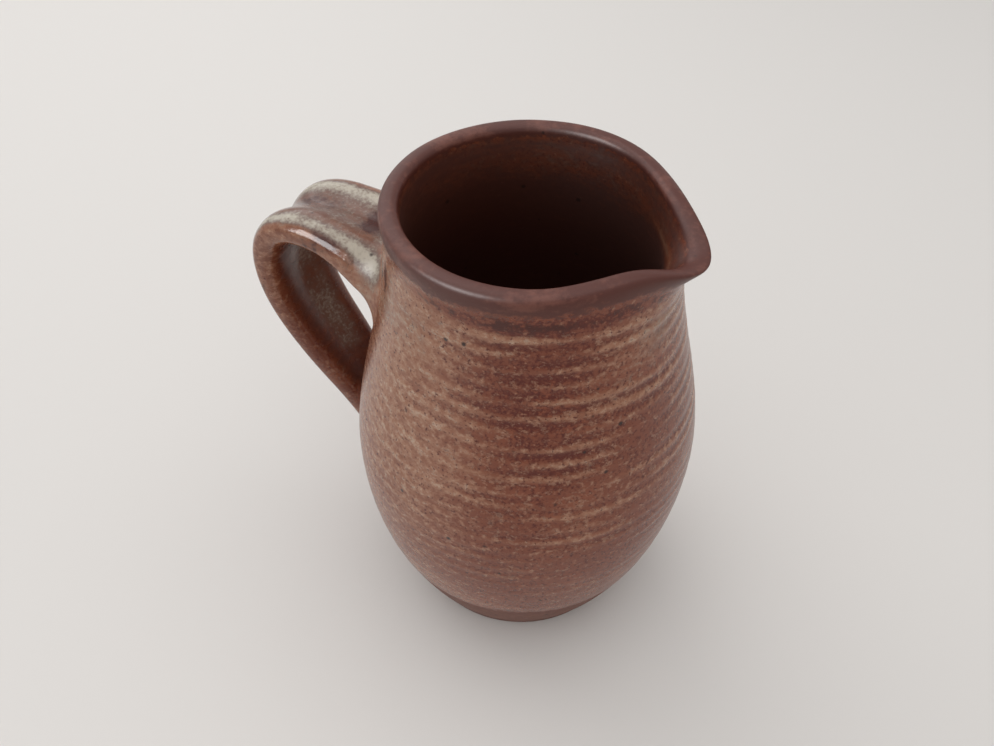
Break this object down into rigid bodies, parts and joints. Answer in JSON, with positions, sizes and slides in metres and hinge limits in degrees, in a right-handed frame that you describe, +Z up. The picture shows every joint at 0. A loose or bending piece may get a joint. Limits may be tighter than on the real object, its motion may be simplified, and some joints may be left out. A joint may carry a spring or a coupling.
{
  "type": "stoneware milk jug",
  "caption": "Hand-thrown stoneware milk jug with a swelling belly, a pulled pouring lip and a grooved strap handle.",
  "frame": {"origin": "centre of the flat foot, on the surface that the jug stands on", "axes": "+Z up along the axis that the jug was thrown on, +X towards the pouring lip, handle towards -X"},
  "size_m": [0.1213, 0.0918, 0.13],
  "materials": {
    "glazed_stoneware": "brown stoneware glaze that breaks to rust and tan over the throwing rings, glossy",
    "pooled_glaze": "the same glaze, thicker and paler where it pooled on the handle, glossy",
    "slip_under_glaze": "luting slip under a thin dark coat of the glaze"
  },
  "bodies": {
    "root": {"thrown_body": "glazed_stoneware", "pulled_handle": "pooled_glaze", "upper_luting_slip": "slip_under_glaze", "lower_luting_slip": "slip_under_glaze"}
  },
  "joints": []
}
